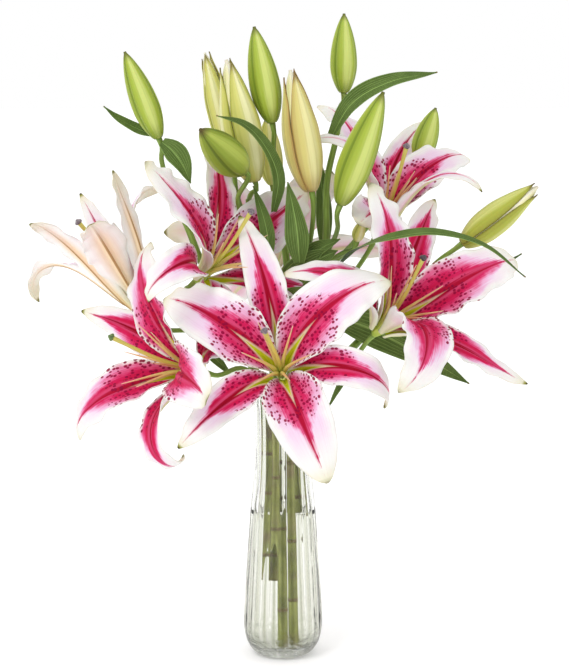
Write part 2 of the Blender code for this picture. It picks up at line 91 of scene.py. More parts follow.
# Each flower: where its receptacle is, which way it faces, how broad its tepals are beside the usual, and
# its tepals as (name, turn about the axis from the top, length, lean away from the axis from claw to tip,
# sideways sway).
FLOWERS = {
    "front_lily": {
        "base": (-1, -48, 254), "facing": (-0.09, -0.88, 0.47), "breadth": 1.06,
        "tepals": [
            ("petal_left", 306, 128, (28, 62, 71, 143), 15),
            ("petal_right", 36, 136, (18, 66, 62, 144), -35),
            ("petal_low", 156, 133, (17, 60, 73, 112), 0),
            ("sepal_up", 353, 136, (30, 70, 80, 90), 23),
            ("sepal_low_left", 231, 116, (22, 50, 116, 108), 8),
            ("sepal_low_right", 89, 130, (29, 46, 80, 226), -34),
        ],
    },
    "left_lily": {
        "base": (-69, -20, 252), "facing": (-0.85, -0.45, 0.29),
        "tepals": [
            ("petal_low", 209, 131, (21, 24, 28, 138), 3),
            ("petal_up", 336, 126, (20, 58, 42, 133), 2),
            ("petal_near", 88, 133, (16, 60, 118, 74), -20),
            ("sepal_far", 290, 125, (40, 72, 46, 60), 20),
            ("sepal_low", 152, 131, (30, 42, 60, 270), -8),
            ("sepal_right", 50, 70, (43, 80, 108, 160), 0),
        ],
    },
    "upper_lily": {
        "base": (-70, -12, 331), "facing": (0.62, -0.5, 0.6),
        "tepals": [
            ("petal_left", 311, 132, (5, 75, 62, 86), -8),
            ("petal_near", 201, 49, (57, 110, 150, 190), 0),
            ("petal_right", 74, 122, (22, 52, 58, 86), 3),
            ("sepal_up", 25, 134, (24, 66, 84, 114), 0),
            ("sepal_curled", 272, 121, (29, 54, 62, 228), 24),
            ("sepal_low", 132, 106, (43, 46, 60, 96), 14),
        ],
    },
    "right_lily": {
        "base": (80, -10, 285), "facing": (0.53, -0.54, 0.66),
        "tepals": [
            ("petal_right", 96, 141, (28, 29, 8, 128), 7),
            ("petal_up", 349, 130, (20, 26, 50, 86), 0),
            ("petal_near", 205, 145, (17, 16, 84, 180), -22),
            ("sepal_low", 150, 133, (22, 58, 95, 70), 1),
            ("sepal_left", 305, 122, (16, 62, 100, 150), 1),
            ("sepal_up", 36, 138, (26, 54, 76, 100), -20),
        ],
    },
    "back_right_lily": {
        "base": (82, 58, 360), "facing": (0.35, -0.3, 0.85), "breadth": 0.84,
        "tepals": [
            ("sepal_up", 43, 129, (40, 65, 62, 63), -32),
            ("petal_right", 85, 125, (2, 28, 62, 120), -9),
            ("sepal_right", 160, 122, (2, 5, 20, 128), -1),
            ("petal_left", 352, 132, (22, 55, 40, 127), -14),
            ("sepal_left", 302, 132, (12, 33, 25, 153), -3),
            ("petal_near", 250, 92, (27, 56, 76, 112), 0),
        ],
    },
    "back_left_lily": {
        "base": (-121, 25, 297), "facing": (-0.5, 0.35, 0.75), "breadth": 0.76,
        "tepals": [
            ("sepal_left", 100, 134, (26, 10, 25, 102), 30),
            ("petal_near", 50, 125, (19, 57, 69, 107), -7),
            ("sepal_up", 358, 123, (38, 22, 14, 51), -34),
            ("sepal_back", 240, 142, (14, 20, 22, 14), -1),
            ("petal_curled", 296, 145, (30, 12, 2, 132), 14),
            ("petal_low", 165, 145, (24, 20, 2, 192), -18),
        ],
    },
    "back_lily": {
        "base": (-10, 78, 316), "facing": (0.05, 0.8, 0.6),
        "tepals": [
            ("petal_left", 328, 116, (18, 50, 74, 112), 0),
            ("petal_right", 88, 118, (18, 50, 70, 110), 0),
            ("petal_back", 208, 122, (18, 46, 66, 108), 0),
            ("sepal_up", 28, 118, (26, 58, 80, 118), 0),
            ("sepal_right", 148, 120, (26, 58, 80, 120), 0),
            ("sepal_left", 268, 120, (26, 58, 80, 120), 0),
        ],
    },
}
# How far each pistil reaches along its flower's axis, upwards and aside.
PISTILS = {
    "front_lily": (66, 18, 9), "left_lily": (92, 11, 0), "upper_lily": (86, 13, 3),
    "right_lily": (84, 18, -2), "back_right_lily": (86, 8, 2), "back_left_lily": (94, 6, -20),
    "back_lily": (60, 0, 0),
}
# Flowers that are one solid each; here their tepals are pieces too.
FUSED = ("back_right_lily", "back_left_lily", "back_lily")
DEEP_FLOWERS = ("right_lily", "left_lily")
WARM_FLOWERS = ("back_left_lily",)
FILAMENT_LENGTH = 62
FILAMENT_SPREAD = 27
GATHERED_SPREAD = 11

# Buds, as (tip, base, width).
BUDS = {
    "bud_left": ((-131, -12, 520), (-104, -5, 448), 23),
    "bud_pale": ((-66, 28, 517), (-44, 24, 432), 22),
    "bud_opening": ((-47, -6, 513), (-24, 4, 411), 33),
    "bud_middle": ((-24, 3, 540), (-9, 5, 460), 26),
    "bud_nodding": ((-67, -62, 460), (-33, -18, 422), 31),
    "bud_cream": ((6, -14, 505), (24, -8, 404), 31),
    "bud_hidden": ((-14, 50, 461), (-9, 46, 403), 22),
    "bud_top": ((52, 50, 549), (52, 47, 482), 23),
    "bud_near": ((82, -44, 489), (48, -24, 395), 29),
    "bud_behind": ((135, 112, 464), (120, 106, 417), 22),
    "bud_right": ((215, 5, 406), (153, 18, 356), 27),
    "bud_small": ((67, -6, 379), (62, 2, 360), 11),
}
# Finishes of the buds: body, ribs (painted highlight), seams (dark line and painted shade) and tip.
BUD_COLOURS = {
    "inner_petals": ((0.78, 0.74, 0.42), (0.84, 0.82, 0.66), (0.6, 0.6, 0.25), (0.8, 0.76, 0.6)),
    "green": ((0.34, 0.43, 0.05), (0.56, 0.63, 0.18), (0.16, 0.23, 0.02), (0.12, 0.13, 0.02)),
    "cream": ((0.62, 0.54, 0.18), (0.76, 0.7, 0.34), (0.38, 0.24, 0.07), (0.22, 0.12, 0.04)),
    "pale": ((0.62, 0.6, 0.17), (0.8, 0.77, 0.42), (0.34, 0.35, 0.05), (0.18, 0.14, 0.03)),
    "olive": ((0.24, 0.31, 0.035), (0.38, 0.45, 0.08), (0.1, 0.14, 0.012), (0.1, 0.07, 0.02)),
    "yellow": ((0.4, 0.43, 0.06), (0.58, 0.6, 0.18), (0.2, 0.19, 0.025), (0.12, 0.08, 0.02)),
}
# Every bud not named here is green.
BUD_LOOKS = {
    "bud_nodding": "olive", "bud_cream": "cream", "bud_opening": "pale", "bud_hidden": "pale",
    "bud_pale": "pale", "bud_small": "pale", "bud_right": "yellow",
}
# Buds whose outer lobes have begun to part.
PARTING = ("bud_opening", "bud_cream", "bud_right", "bud_pale")

# Main stems: the foot, where each leaves the mouth (degrees, from +X towards +Y), its course above it,
# and its branches, each from a point on the stem to what it carries. Two stand on the vase's floor.
STEMS = {
    "stem_left": ((-9, -2, 66), 180, [
        (-24, 4, 248), (-52, 20, 296), (-72, 22, 345), (-82, 16, 372), (-96, 8, 405),
    ], [
        ([(-96, 8, 405), (-102, 0, 430)], "bud_left"),
        ([(-21, 2, 243), (-36, -4, 252)], "left_lily"),
        ([(-58, 21, 310), (-80, 14, 318)], "upper_lily"),
        ([(-40, 12, 276), (-74, 20, 280)], "back_left_lily"),
    ]),
    "stem_upper": ((-6, 6, 114), 120, [(-9, 18, 262), (-20, 24, 320), (-28, 22, 372), (-29, 12, 394)], [
        ([(-29, 12, 394), (-26, 6, 401)], "bud_opening"),
        ([(-27, 22, 362), (-38, 2, 396)], "bud_nodding"),
        ([(-26, 22, 356), (-40, 30, 400)], "bud_pale"),
    ]),
    "stem_middle": ((5, 6, 118), 60, [(7, 18, 262), (5, 34, 320), (-2, 42, 376), (-7, 26, 418)], [
        ([(-7, 26, 418), (-8, 11, 440)], "bud_middle"),
        ([(5, 32, 308), (21, 10, 350)], "bud_cream"),
        ([(-2, 42, 366), (-8, 44, 386)], "bud_hidden"),
        ([(6, 22, 280), (-6, 44, 294)], "back_lily"),
    ]),
    "stem_tall": ((14, 1, 121), 0, [
        (22, 8, 262), (32, 26, 310), (37, 38, 358), (38, 46, 406), (46, 48, 444),
    ], [
        ([(46, 48, 444), (51, 47, 466)], "bud_top"),
        ([(36, 35, 342), (46, -6, 372)], "bud_near"),
        ([(26, 14, 282), (50, 48, 310)], "back_right_lily"),
        ([(34, 31, 326), (76, 92, 362), (108, 104, 396)], "bud_behind"),
        ([(36, 34, 336), (54, 12, 350)], "bud_small"),
    ]),
    "stem_right": ((9, -4, FOOT), -60, [(24, -10, 244), (48, 2, 258), (78, 24, 284), (112, 34, 318)], [
        ([(112, 34, 318), (136, 26, 342)], "bud_right"),
        ([(40, -4, 253), (60, -1, 260)], "right_lily"),
    ]),
    "stem_front": ((0, -7, FOOT), -120, [(-5, -16, 236)], [
        ([(-5, -16, 236), (-2, -24, 242)], "front_lily"),
    ]),
}

# Leaves: course of the midrib from base to tip, width, and the direction its upper face looks.
LEAVES = {
    "leaf_top_right": ([(41, 29, 446), (58, 26, 474), (90, 8, 494), (128, -12, 503)], 22,
        (-0.5, -0.7, 0.5)),
    "leaf_left": ([(-101, -11, 445), (-93, -13, 439), (-84, -15, 427), (-77, -16, 411)], 23,
        (0.4, -0.85, 0.3)),
    "leaf_right_arch": ([(50, -10, 344), (62, -44, 360), (88, -80, 374), (122, -96, 380), (162, -96, 370),
        (196, -90, 343)], 12, (0.1, -0.6, 0.8)),
    "leaf_low_right": ([(36, 15, 291), (60, 16, 288), (104, 8, 269), (158, -12, 240)], 35,
        (-0.1, -0.9, 0.45)),
    "leaf_arching": ([(-8, -5, 386), (-4, -13, 414), (-14, -26, 442), (-32, -44, 463),
        (-54, -60, 471)], 15, (0.45, -0.8, 0.4)),
    "leaf_middle": ([(14, -16, 344), (11, -15, 376), (4, -14, 412)], 23, (-0.2, -1, 0.1)),
    "leaf_inner": ([(-11, -19, 350), (-14, -12, 373), (-20, -9, 394), (-25, -8, 408)], 14,
        (0.2, -0.95, 0.1)),
    "leaf_folded": ([(14, 6, 332), (28, -4, 352), (48, -14, 364)], 22, (0.2, -0.8, 0.6)),
    "leaf_far_right": ([(124, 40, 316), (160, 40, 318), (206, 40, 344)], 13, (-0.2, -0.8, 0.6)),
}

# Smaller leaves among the flowers, in the same terms.
SMALL_LEAVES = {
    "leaf_behind_bud": ([(-107, 8, 449), (-121, 9, 454), (-137, 4, 463), (-150, 0, 474)], 10,
        (0.1, -0.9, 0.4)),
    "leaf_sliver": ([(-99, 14, 399), (-91, 14, 387), (-81, 13, 371)], 8, (0.5, -0.85, 0.2)),
    "leaf_under_right": ([(58, -5, 254), (48, -10, 238), (38, -16, 219)], 7, (0.3, -0.9, 0.3)),
    "leaf_under_left": ([(-68, 6, 270), (-57, 4, 258), (-43, 0, 244)], 10, (0, -0.9, 0.4)),
    "leaf_shade": ([(3, -5, 314), (14, -5, 332), (30, -9, 346), (46, -12, 354)], 34, (0, -1, 0.25)),
    "leaf_tall": ([(36, 56, 346), (35, 57, 385), (30, 58, 432)], 16, (0.1, -1, 0)),
    "leaf_grey": ([(-2, -14, 304), (8, -20, 316), (20, -23, 325)], 22, (-0.2, -0.9, 0.4)),
}
# Every leaf not named here is dark.
LEAF_LOOKS = {"leaf_arching": "fresh", "leaf_grey": "underside", "leaf_tall": "underside"}

# ---- shaders


class Shader:
    """A Principled material and short calls that grow its node tree."""

    colour = None

    def __init__(self, name, **values):
        self.material = bpy.data.materials.new(name)
        self.material.use_nodes = True
        self.tree = self.material.node_tree
        self.surface = self.tree.nodes["Principled BSDF"]
        for socket, value in values.items():
            socket = socket.replace("_", " ").title().replace("Ior", "IOR")
            self.surface.inputs[socket].default_value = value

    def feed(self, socket, value):
        if isinstance(value, bpy.types.NodeSocket):
            self.tree.links.new(value, socket)
        else:
            socket.default_value = value

    def node(self, kind, inputs, **settings):
        """A new node with its settings, and its inputs fed by name or number."""
        made = self.tree.nodes.new("ShaderNode" + kind)
        for key, value in settings.items():
            setattr(made, key, value)
        for key, value in inputs.items():
            self.feed(made.inputs[key], value)
        return made

    def math(self, operation, a, b=0.5):
        return self.node("Math", {0: a, 1: b}, operation=operation).outputs[0]

    def times(self, a, b):
        return self.math("MULTIPLY", a, b)

    def plus(self, a, b):
        return self.math("ADD", a, b)

    def minus(self, a, b):
        return self.math("SUBTRACT", a, b)

    def from_midrib(self, span):
        """0 on the midrib, 1 at both edges."""
        return self.math("ABSOLUTE", self.minus(self.times(span, 2.0), 1.0))

    def stray(self, noise, amount):
        """A noise that swings both ways about nothing."""
        return self.times(self.minus(noise, 0.5), amount)

    def vary(self, base, noise, amount):
        """A value that rises from its base with a noise."""
        return self.plus(base, self.times(noise, amount))

    def step(self, value, low, high):
        """0 below low, 1 above high, smooth between; falls instead where low is above high."""
        falls = low > high
        inputs = {"Value": value, "From Min": min(low, high), "From Max": max(low, high),
                  "To Min": 1 if falls else 0, "To Max": 0 if falls else 1}
        return self.node("MapRange", inputs, interpolation_type="SMOOTHSTEP").outputs["Result"]

    def blend(self, share, a, b, how="MIX"):
        a, b = [(*colour, 1) if isinstance(colour, tuple) else colour for colour in (a, b)]
        settings = {"data_type": "RGBA", "blend_type": how, "clamp_factor": True}
        return self.node("Mix", {"Factor": share, 6: a, 7: b}, **settings).outputs[2]

    def lay(self, share, colour, strength=None, how="MIX"):
        """Lays a colour over what is there, by share, at less than full strength where one is given."""
        share = share if strength is None else self.times(share, strength)
        self.colour = self.blend(share, self.colour, colour, how)

    def ramp(self, value, stops):
        made = self.node("ValToRGB", {0: value})
        points = made.color_ramp.elements
        while len(points) < len(stops):
            points.new(1)
        for point, (place, colour) in zip(points, stops):
            point.position = place
            point.color = (*colour, 1)
        return made.outputs[0]

    def uv(self, name, scale=(1, 1, 1)):
        place = self.node("UVMap", {}, uv_map=name).outputs[0]
        return self.node("Mapping", {"Vector": place, "Scale": scale}).outputs[0]

    def space(self, scale=(1, 1, 1)):
        place = self.node("TexCoord", {}).outputs["Object"]
        return self.node("Mapping", {"Vector": place, "Scale": scale}).outputs[0]

    def parts(self, vector):
        """The three numbers of a vector or colour."""
        return tuple(self.node("SeparateXYZ", {0: vector}).outputs[:3])

    def noise(self, vector, detail, roughness=0.55):
        inputs = {"Vector": vector, "Scale": 1, "Detail": detail, "Roughness": roughness}
        return self.node("TexNoise", inputs).outputs["Fac"]

    def bump(self, height, distance, strength, under=None):
        inputs = {"Height": height, "Distance": distance, "Strength": strength}
        if under:
            inputs["Normal"] = under
        return self.node("Bump", inputs).outputs["Normal"]

    def finish(self, roughness, normal):
        for socket, value in (("Base Color", self.colour), ("Roughness", roughness), ("Normal", normal)):
            if value is not None:
                self.feed(self.surface.inputs[socket], value)
        return self.material


WHITE = (0.84, 0.83, 0.8)
CREAM = (0.8, 0.77, 0.6)
LILAC = (0.8, 0.6, 0.76)
BLUSH = (0.78, 0.4, 0.6)
PINK = (0.69, 0.095, 0.24)
ROSE = (0.6, 0.012, 0.1)
CRIMSON = (0.48, 0.002, 0.045)
DEEP_RED = (0.38, 0.001, 0.022)
SPOT = (0.27, 0.0, 0.04)
LIP = (0.84, 0.7, 0.5)
NECTAR = (0.58, 0.64, 0.02)

# The markings of each whorl. The field's colours run from the midrib to its reach; reach is how broad the
# field is, where it has run out and where it is still whole; rib_end is where the midrib stripe stops;
# spots are where the last ones stand and where they thin out; tip is how strongly the end is greened.
MARKINGS = {
    "petal": {
        "field": [(0, CRIMSON), (0.2, (0.54, 0.004, 0.06)), (0.33, ROSE), (0.46, PINK), (0.7, BLUSH),
                  (1, LILAC)],
        "reach": (1.16, 0.78, 0.3), "rib": (0.44, 0.002, 0.035), "rib_end": 0.88, "spots": (0.62, 0.46),
        "tip": 0.3,
    },
    "sepal": {
        "field": [(0, CRIMSON), (0.34, (0.56, 0.004, 0.06)), (0.5, ROSE), (0.64, PINK), (0.84, BLUSH),
                  (1, LILAC)],
        "reach": (1.0, 0.83, 0.34), "rib": DEEP_RED, "rib_end": 0.95, "spots": (0.56, 0.4),
        "tip": 1.0,
    },
}


def petal_face(name, kind, deep=False):
    """The upper face: white margin, magenta field, crimson midrib, raised spots and green throat."""
    marks = MARKINGS[kind]
    mat = Shader(name, specular_ior_level=0.1, subsurface_weight=0.06, subsurface_scale=0.002)
    mat.surface.inputs["Subsurface Radius"].default_value = (1.0, 0.35, 0.4)
    along, span, _ = mat.parts(mat.uv("span"))
    millimetres = mat.math("ABSOLUTE", mat.parts(mat.uv("size"))[1])
    streaks = mat.noise(mat.uv("span", (2.4, 44, 1)), 3)
    patches = mat.noise(mat.uv("size", (0.07, 0.1, 1)), 2)
    out = mat.from_midrib(span)
    feather = mat.stray(streaks, 0.55)
    drift = mat.stray(patches, 0.5)
    loose = mat.plus(out, mat.plus(feather, drift))
    broad, ends, whole = marks["reach"]
    if deep:
        broad, ends = broad * 1.45, min(ends + 0.14, 0.95)
    reach = mat.times(mat.step(along, ends, whole), broad)
    share = mat.math("DIVIDE", loose, mat.plus(reach, 0.04))
    pale = mat.blend(mat.step(mat.plus(out, drift), 0.5, 0.95), LILAC, WHITE)
    pale = mat.blend(mat.step(along, 0.6, 0.9), pale, WHITE)
    mat.colour = mat.blend(mat.step(share, 0.86, 1.12), mat.ramp(share, marks["field"]), pale)
    edge = mat.step(mat.plus(out, mat.times(drift, 0.6)), 0.8, 0.98)
    margin = mat.blend(mat.step(along, 0.78, 1.0), WHITE, CREAM)
    mat.lay(mat.math("MAXIMUM", edge, mat.step(along, 0.86, 0.98)), margin)
    # the midrib stripe, running on beyond the field in a pink feathering
    rib_end = marks["rib_end"]
    width = mat.times(mat.step(along, rib_end + 0.03, 0.2), 0.17)
    past = mat.minus(mat.plus(out, mat.times(feather, 0.35)), width)
    fade = mat.step(along, rib_end, rib_end - 0.14)
    mat.lay(mat.times(mat.step(past, 0.2, -0.02), mat.times(fade, 0.8)), PINK)
    mat.lay(mat.times(mat.step(past, 0.07, -0.03), fade), marks["rib"])
    lines = mat.noise(mat.uv("span", (1.2, 90, 1)), 2)
    mat.lay(mat.step(lines, 0.5, 0.72), (0.72, 0.3, 0.42), 0.2, "MULTIPLY")
    # dark raised spots, near round in true size, on the inner part of the field
    place = mat.uv("size", (0.27, 0.36, 1))
    cells = mat.node("TexVoronoi", {"Vector": place, "Scale": 1, "Randomness": 0.62}, feature="F1")
    luck, girth, _ = mat.parts(cells.outputs["Color"])
    zone = mat.times(mat.step(along, 0.08, 0.16), mat.step(along, *marks["spots"]))
    zone = mat.times(mat.times(zone, 2.8), mat.step(share, 1.06, 0.78))
    if kind == "sepal":
        zone = mat.times(zone, mat.step(out, 0.12, 0.5))
    rim = mat.minus(cells.outputs["Distance"], mat.vary(0.29, girth, 0.17))
    spots = mat.times(mat.step(rim, 0.07, -0.03), mat.math("LESS_THAN", luck, zone))
    mat.lay(spots, SPOT, 0.95)
    # nectar furrow, wide at the claw, with pale lips
    furrow = mat.plus(millimetres, mat.times(along, 15.0))
    mat.lay(mat.step(furrow, 7.2, 5.4), LIP, 0.85)
    mat.lay(mat.step(furrow, 5.4, 4.4), NECTAR)
    mat.lay(mat.step(along, 0.962, 0.985), (0.3, 0.3, 0.06), marks["tip"])
    mat.lay(mat.step(along, 0.984, 0.992), (0.09, 0.08, 0.02), marks["tip"])
    ridges = mat.bump(lines, 0.0005, 0.6)
    grain = mat.bump(mat.noise(mat.uv("size", (1.6, 1.6, 1)), 2), 0.0002, 0.5, ridges)
    return mat.finish(mat.vary(0.42, patches, 0.2), mat.bump(spots, 0.0005, 0.6, grain))


def petal_back(name, kind, warm):
    """The paler outer face, its midrib thin and brown where warm, else broad and green, and fine veins."""
    mat = Shader(name, specular_ior_level=0.25, subsurface_weight=0.1, subsurface_scale=0.003,
                 sheen_weight=0.08)
    mat.surface.inputs["Subsurface Radius"].default_value = (1.0, 0.5, 0.4)
    along, span, _ = mat.parts(mat.uv("span"))
    out = mat.from_midrib(span)
    streaks = mat.noise(mat.uv("span", (1.6, 60, 1)), 3)
    patches = mat.noise(mat.uv("size", (0.06, 0.06, 1)), 2)
    if warm:
        flush = [(0, (0.9, 0.76, 0.68)), (0.35, (0.92, 0.83, 0.8)), (0.7, (0.94, 0.9, 0.88)), (1, WHITE)]
        rib, wide = (0.36, 0.17, 0.02), 0.07
    else:
        flush = [(0, (0.8, 0.46, 0.58)), (0.35, (0.82, 0.58, 0.68)), (0.7, (0.84, 0.76, 0.78)), (1, WHITE)]
        rib, wide = (0.6, 0.64, 0.26), 0.2 if kind == "sepal" else 0.14
    mat.colour = mat.ramp(mat.plus(out, mat.stray(patches, 0.5)), flush)
    mat.lay(mat.step(along, 0.7, 1.0), CREAM)
    mat.lay(mat.step(along, 0.32, 0.0), (0.74, 0.74, 0.4), 0.75)
    if warm:
        glow = mat.times(mat.step(out, 0.72, 0.05), mat.step(along, 0.86, 0.5))
        mat.lay(glow, (0.92, 0.66, 0.3), 0.55)
    mat.lay(mat.times(mat.step(out, wide, 0.03), mat.step(along, 1.0, 0.5)), rib, 0.8)
    mat.lay(mat.step(streaks, 0.5, 0.75), (0.85, 0.66, 0.7), 0.3, "MULTIPLY")
    mat.lay(mat.step(along, 0.965, 0.99), (0.2, 0.2, 0.04))
    return mat.finish(mat.vary(0.42, patches, 0.2), mat.bump(streaks, 0.0004, 0.6))


def leaf_finish(name, upper, lower):
    """Long parallel veins, a pale midrib and a waxy sheen."""
    mat = Shader(name, specular_ior_level=0.1)
    along, span, _ = mat.parts(mat.uv("span"))
    out = mat.from_midrib(span)
    veins = mat.math("SINE", mat.times(span, 62.0))
    patches = mat.noise(mat.uv("size", (0.05, 0.12, 1)), 4)
    light = tuple(min(1, c * 2.2 + 0.02) for c in upper)
    mat.colour = mat.ramp(patches, [(0.25, lower), (0.75, upper)])
    mat.lay(mat.step(veins, 0.75, 1.0), light, 0.45)
    mat.lay(mat.step(out, 0.09, 0.02), light, 0.8)
    mat.lay(mat.step(out, 0.93, 1.0), light, 0.5)
    mat.lay(mat.step(along, 0.985, 1.0), (0.3, 0.2, 0.07))
    return mat.finish(mat.vary(0.3, patches, 0.25), mat.bump(veins, 0.0003, 0.6))


def bud_finish(name, body, rib, shade, tip):
    """Three ribbed sepals closed over the flower: ribs lit by painted highlight, dark seams in painted
    shade, a darker tip.
    """
    mat = Shader(name, specular_ior_level=0.2, subsurface_weight=0.05, subsurface_scale=0.003)
    along, around, _ = mat.parts(mat.uv("span"))
    wave = mat.math("COSINE", mat.times(around, math.tau * 3))
    fine = mat.math("SINE", mat.times(around, math.tau * 15))
    streaks = mat.noise(mat.uv("span", (1.8, 40, 1)), 3)
    # painted highlight: the rib colour lightens the raised middle of each lobe
    mat.colour = mat.blend(mat.step(mat.plus(wave, mat.stray(streaks, 0.9)), 0.1, 1.0), body, rib)
    # the seam: a dark line, with painted shade on the flanks of each groove beside it
    mat.lay(mat.step(wave, -0.9, -1.0), shade, 0.95)
    mat.lay(mat.step(wave, -0.1, -0.9), shade, 0.35)
    mat.lay(mat.step(fine, 0.6, 1.0), shade, 0.14)
    mat.lay(mat.step(along, 0.2, 0.0), shade, 0.6)
    mat.lay(mat.step(along, 0.88, 1.0), tip, 0.95)
    normal = mat.bump(fine, 0.0003, 0.5, mat.bump(streaks, 0.0005, 0.5))
    return mat.finish(mat.vary(0.33, streaks, 0.18), normal)


def stem_finish(name, green, scar, scarred):
    """Ridged green skin with pale flecks and brown scars."""
    mat = Shader(name, specular_ior_level=0.35)
    streaks = mat.noise(mat.uv("size", (0.03, 0.35, 1)), 4)
    blotches = mat.noise(mat.space((55, 55, 30)), 3)
    dark = tuple(c * 0.5 for c in green)
    light = tuple(min(1, c * 1.5 + 0.03) for c in green)
    mat.colour = mat.ramp(streaks, [(0.3, dark), (0.5, green), (0.72, light)])
    mat.lay(mat.step(blotches, 0.48, 0.7), scar, scarred)
    return mat.finish(mat.vary(0.38, blotches, 0.2), mat.bump(streaks, 0.0006, 0.6))


def along_finish(name, stops, roughness=0.4):
    """A tapered thread coloured from base to tip, with fine streaks."""
    mat = Shader(name, roughness=roughness, subsurface_weight=0.1, subsurface_scale=0.003)
    streaks = mat.noise(mat.uv("span", (6, 9, 1)), 3)
    loose = mat.plus(mat.parts(mat.uv("span"))[0], mat.stray(streaks, 0.12))
    mat.colour = mat.ramp(loose, stops)
    return mat.finish(mat.vary(roughness - 0.08, streaks, 0.16), mat.bump(streaks, 0.0003, 0.6))


def stigma_finish(name, dark, middle, light):
    """Velvet lobes."""
    mat = Shader(name, roughness=0.6, sheen_weight=0.2)
    grain = mat.noise(mat.space((900, 900, 900)), 3)
    mat.colour = mat.ramp(grain, [(0.35, dark), (0.55, middle), (0.75, light)])
    return mat.finish(mat.vary(0.5, grain, 0.2), mat.bump(grain, 0.0004, 0.8))


def glass_finish():
    """Clear pressed glass, a faint olive in the valleys of its flutes, with swirls in the heavy base."""
    mat = Shader("vase_glass", roughness=0.0, transmission_weight=1, ior=1.32)
    around = mat.parts(mat.uv("span"))[1]
    height = mat.parts(mat.space())[2]
    waves = mat.noise(mat.space((26, 26, 9)), 2)
    smears = mat.noise(mat.space((70, 70, 40)), 3)
    runs = mat.noise(mat.uv("span", (5, 60, 1)), 3)
    swirls = mat.noise(mat.space((60, 60, 170)), 4, 0.7)
    valley = mat.math("COSINE", mat.times(around, math.tau * FLUTES))
    loose = mat.plus(valley, mat.stray(runs, 1.6))
    mat.colour = mat.blend(mat.step(loose, -0.2, 1.3), (0.98, 0.982, 0.965), (0.65, 0.665, 0.57))
    base = mat.times(mat.step(height, 0.034, 0.012), mat.step(swirls, 0.42, 0.62))
    mat.lay(base, (0.66, 0.69, 0.58), 0.75)
    rough = mat.times(mat.step(smears, 0.5, 0.8), 0.05)
    rings = mat.bump(mat.times(base, swirls), 0.002, 0.5)
    return mat.finish(rough, mat.bump(waves, 0.003, 0.45, rings))


def water_finish():
    """Clear water with the least green in it, faintly uneven at the wall."""
    mat = Shader("vase_water", base_color=(0.972, 0.975, 0.95, 1), roughness=0.0, transmission_weight=1,
                 ior=1.14)
    ripples = mat.noise(mat.space((60, 60, 8)), 2)
    return mat.finish(None, mat.bump(ripples, 0.0008, 0.2))


# ---- shapes


def cubic(values, s):
    """A smooth curve led by four values, at share s."""
    a, b, c, d = values
    r = 1 - s
    return r**3 * a + 3 * s * r * r * b + 3 * s * s * r * c + s**3 * d


def hermite(t, start, end, leaving, arriving):
    """A smooth run from start to end, with its slopes at both."""
    return (start * (2 * t**3 - 3 * t**2 + 1) + end * (3 * t**2 - 2 * t**3)
            + leaving * (t**3 - 2 * t**2 + t) + arriving * (t**3 - t**2))


def path_length(path):
    return sum((b - a).length for a, b in zip(path, path[1:]))


def ease(x, low, high):
    """0 below low, 1 above high, smooth between."""
    t = min(max((x - low) / (high - low), 0), 1)
    return t * t * (3 - 2 * t)


def smooth_path(points, spacing):
    """Points along a smooth course through the given ones; straight runs stay straight."""
    points = [Vector(p) for p in points]
    runs = [(b - a) for a, b in zip(points, points[1:])]
    headings = [runs[0].normalized()]
    headings += [(a.normalized() + b.normalized()).normalized() for a, b in zip(runs, runs[1:])]
    headings.append(runs[-1].normalized())
    path = [points[0]]
    for i, run in enumerate(runs):
        size = run.length
        count = max(1, round(size / spacing))
        for step in range(1, count + 1):
            path.append(hermite(step / count, points[i], points[i + 1],
                                headings[i] * size, headings[i + 1] * size))
    return path


def along_path(path, s):
    """The point at share s of a path's steps, and its heading there."""
    last = len(path) - 1
    step = min(max(s, 0) * last, last - 1e-6)
    low = int(step)
    heading = (path[min(low + 2, last)] - path[max(low - 1, 0)]).normalized()
    return path[low].lerp(path[low + 1], step - low), heading


def add_sheet(bm, surface, rows, columns, length, half_width, finish=0):
    """A grid laid on surface(s, v), with its span and true-size maps."""
    maps = bm.loops.layers.uv
    span = maps.verify()
    size = maps.get("size") or maps.new("size")
    made = bmesh.ops.create_grid(bm, x_segments=columns, y_segments=rows, size=1)["verts"]
    faces = {face for vert in made for face in vert.link_faces}
    for face in faces:
        face.material_index = finish
        face.smooth = True
        for loop in face.loops:
            v, s = loop.vert.co.x, (loop.vert.co.y + 1) / 2
            loop[span].uv = (s, (v + 1) / 2)
            loop[size].uv = (s * length, v * half_width(s))
    for vert in made:
        vert.co = surface((vert.co.y + 1) / 2, vert.co.x)
    return made


def add_tube(bm, path, radius, sides, finish=0, relief=None):
    """A closed tube along a path; radius(s) from its start, relief(s, turn) scales it round."""
    rings = len(path)
    across = (path[1] - path[0]).orthogonal().normalized()
    frames = []
    for i in range(rings):
        ahead = path[min(i + 1, rings - 1)] - path[max(i - 1, 0)]
        across = (across - ahead * across.dot(ahead) / ahead.length_squared).normalized()
        frames.append((across, ahead.normalized().cross(across)))

    def surface(s, v):
        i = round(s * (rings - 1))
        turn = (v + 1) * math.pi
        a, b = frames[i]
        size = radius(s) * (relief(s, turn) if relief else 1)
        return path[i] + (a * math.cos(turn) + b * math.sin(turn)) * size

    made = add_sheet(bm, surface, rings - 1, sides, path_length(path), lambda s: math.pi * radius(s),
                     finish)
    bmesh.ops.remove_doubles(bm, verts=made, dist=NEAR)
    edges = {e for v in made if v.is_valid for e in v.link_edges if e.is_boundary}
    for face in bmesh.ops.holes_fill(bm, edges=list(edges), sides=sides)["faces"]:
        face.material_index = finish
        face.smooth = True


